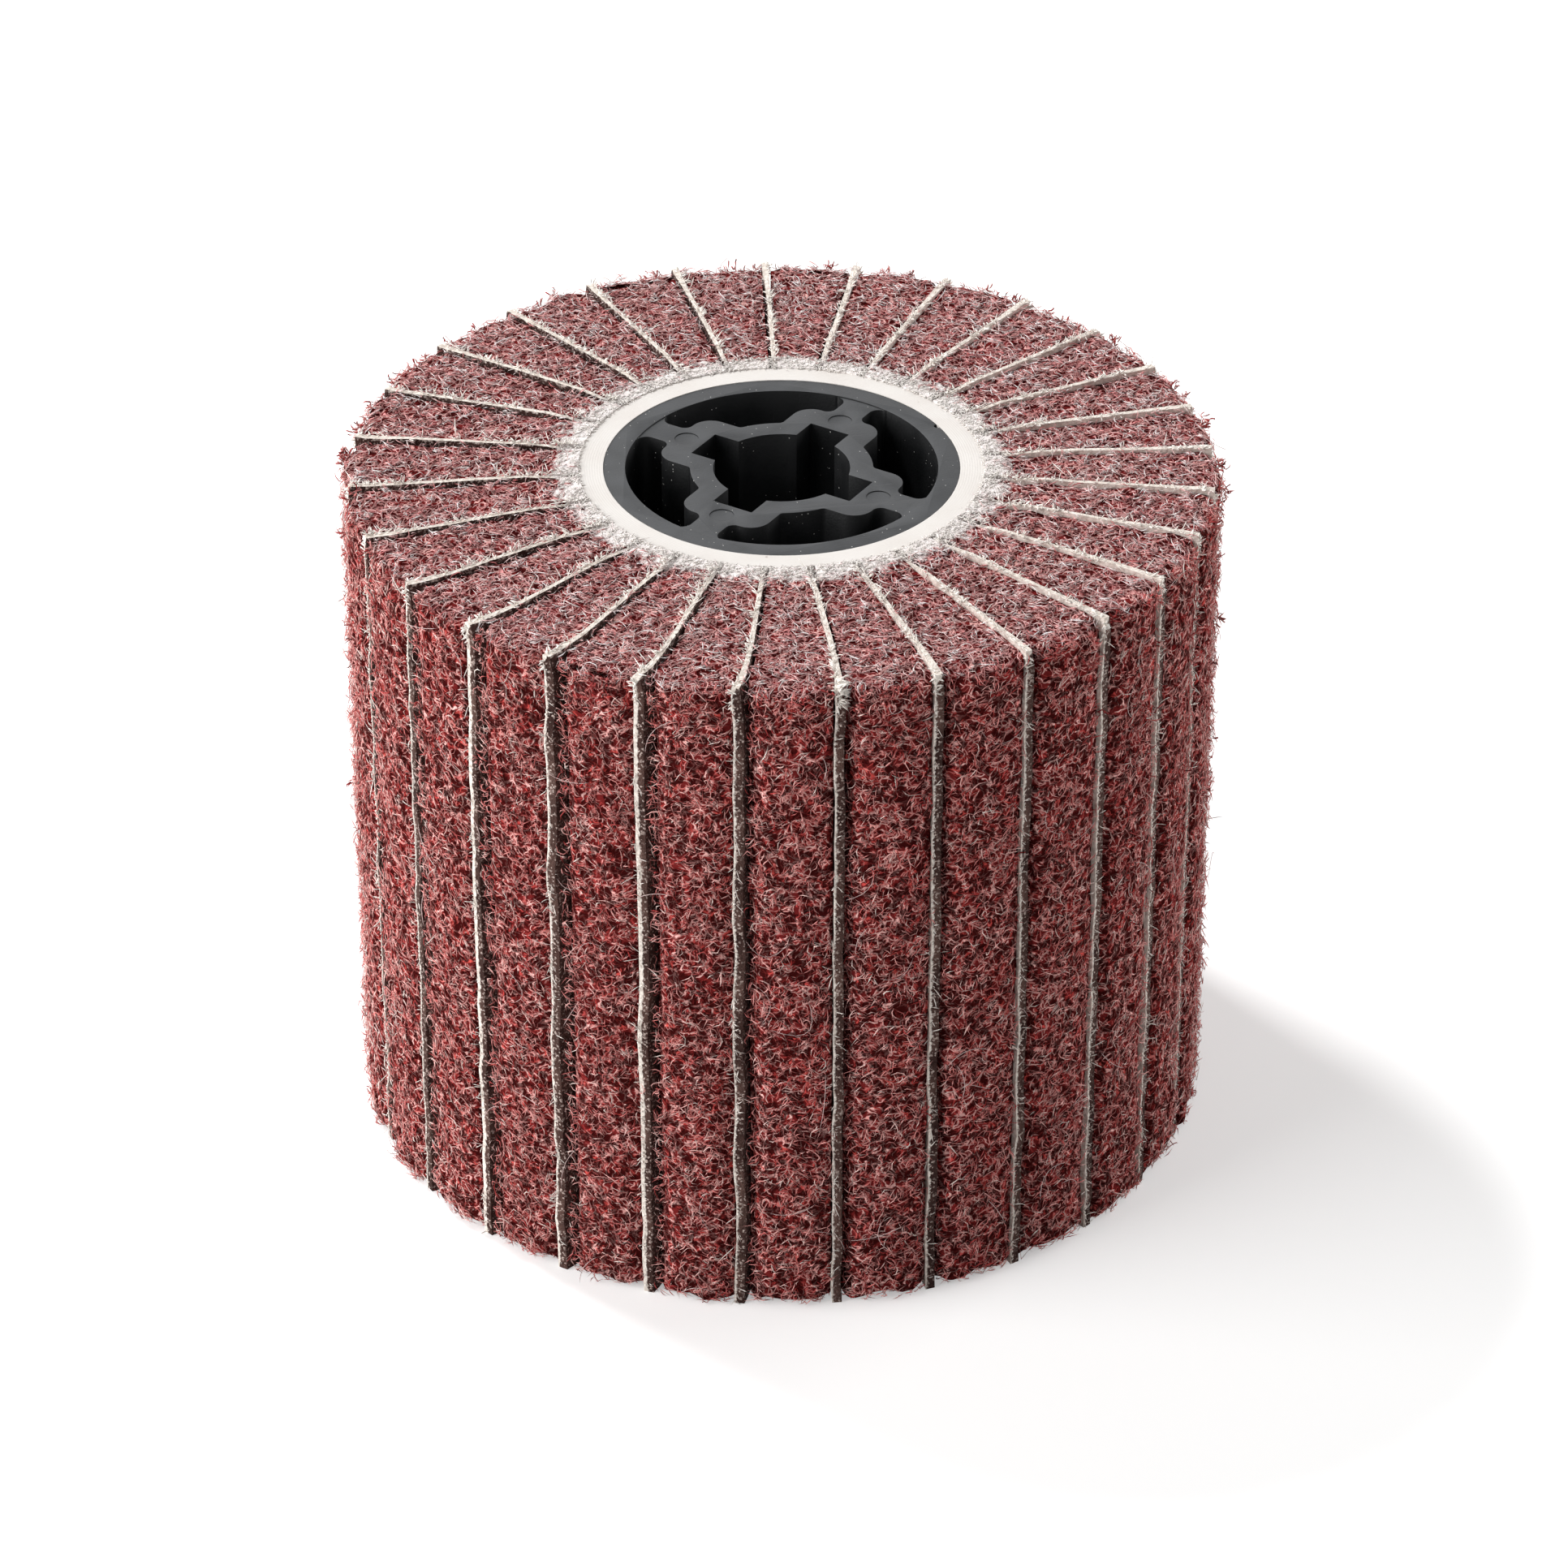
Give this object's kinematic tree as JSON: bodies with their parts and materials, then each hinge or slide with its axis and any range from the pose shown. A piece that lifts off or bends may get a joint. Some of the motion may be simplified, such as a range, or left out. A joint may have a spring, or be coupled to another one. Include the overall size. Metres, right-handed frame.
{
  "type": "flap wheel",
  "caption": "Interleaf flap wheel: abrasive cloth flaps alternating with maroon nonwoven web flaps, set in a white cast ring round a black moulded hub with a keyed bore.",
  "frame": {"origin": "on the bore axis at the lower end face of the flaps", "axes": "+Z along the bore axis; the four keyways lie at 45 degrees to X and Y"},
  "size_m": [0.1198, 0.1198, 0.1],
  "materials": {
    "hub_nylon": "black glass-filled nylon, lightly scratched and dusty",
    "ring_resin": "off-white cast resin, turned face",
    "abrasive_cloth": "cream cotton edge with dark grain on one face, frayed",
    "nonwoven_web": "open maroon nylon fibre mat with abrasive grain"
  },
  "bodies": {
    "root": {"hub": "hub_nylon", "core_ring": "ring_resin", "cloth_flap_01": "abrasive_cloth", "cloth_flap_02": "abrasive_cloth", "cloth_flap_03": "abrasive_cloth", "cloth_flap_04": "abrasive_cloth", "cloth_flap_05": "abrasive_cloth", "cloth_flap_06": "abrasive_cloth", "cloth_flap_07": "abrasive_cloth", "cloth_flap_08": "abrasive_cloth", "cloth_flap_09": "abrasive_cloth", "cloth_flap_10": "abrasive_cloth", "cloth_flap_11": "abrasive_cloth", "cloth_flap_12": "abrasive_cloth", "cloth_flap_13": "abrasive_cloth", "cloth_flap_14": "abrasive_cloth", "cloth_flap_15": "abrasive_cloth", "cloth_flap_16": "abrasive_cloth", "cloth_flap_17": "abrasive_cloth", "cloth_flap_18": "abrasive_cloth", "cloth_flap_19": "abrasive_cloth", "cloth_flap_20": "abrasive_cloth", "cloth_flap_21": "abrasive_cloth", "cloth_flap_22": "abrasive_cloth", "cloth_flap_23": "abrasive_cloth", "cloth_flap_24": "abrasive_cloth", "cloth_flap_25": "abrasive_cloth", "cloth_flap_26": "abrasive_cloth", "cloth_flap_27": "abrasive_cloth", "cloth_flap_28": "abrasive_cloth", "web_flap_01": "nonwoven_web", "web_flap_02": "nonwoven_web", "web_flap_03": "nonwoven_web", "web_flap_04": "nonwoven_web", "web_flap_05": "nonwoven_web", "web_flap_06": "nonwoven_web", "web_flap_07": "nonwoven_web", "web_flap_08": "nonwoven_web", "web_flap_09": "nonwoven_web", "web_flap_10": "nonwoven_web", "web_flap_11": "nonwoven_web", "web_flap_12": "nonwoven_web", "web_flap_13": "nonwoven_web", "web_flap_14": "nonwoven_web", "web_flap_15": "nonwoven_web", "web_flap_16": "nonwoven_web", "web_flap_17": "nonwoven_web", "web_flap_18": "nonwoven_web", "web_flap_19": "nonwoven_web", "web_flap_20": "nonwoven_web", "web_flap_21": "nonwoven_web", "web_flap_22": "nonwoven_web", "web_flap_23": "nonwoven_web", "web_flap_24": "nonwoven_web", "web_flap_25": "nonwoven_web", "web_flap_26": "nonwoven_web", "web_flap_27": "nonwoven_web", "web_flap_28": "nonwoven_web"}
  },
  "joints": []
}
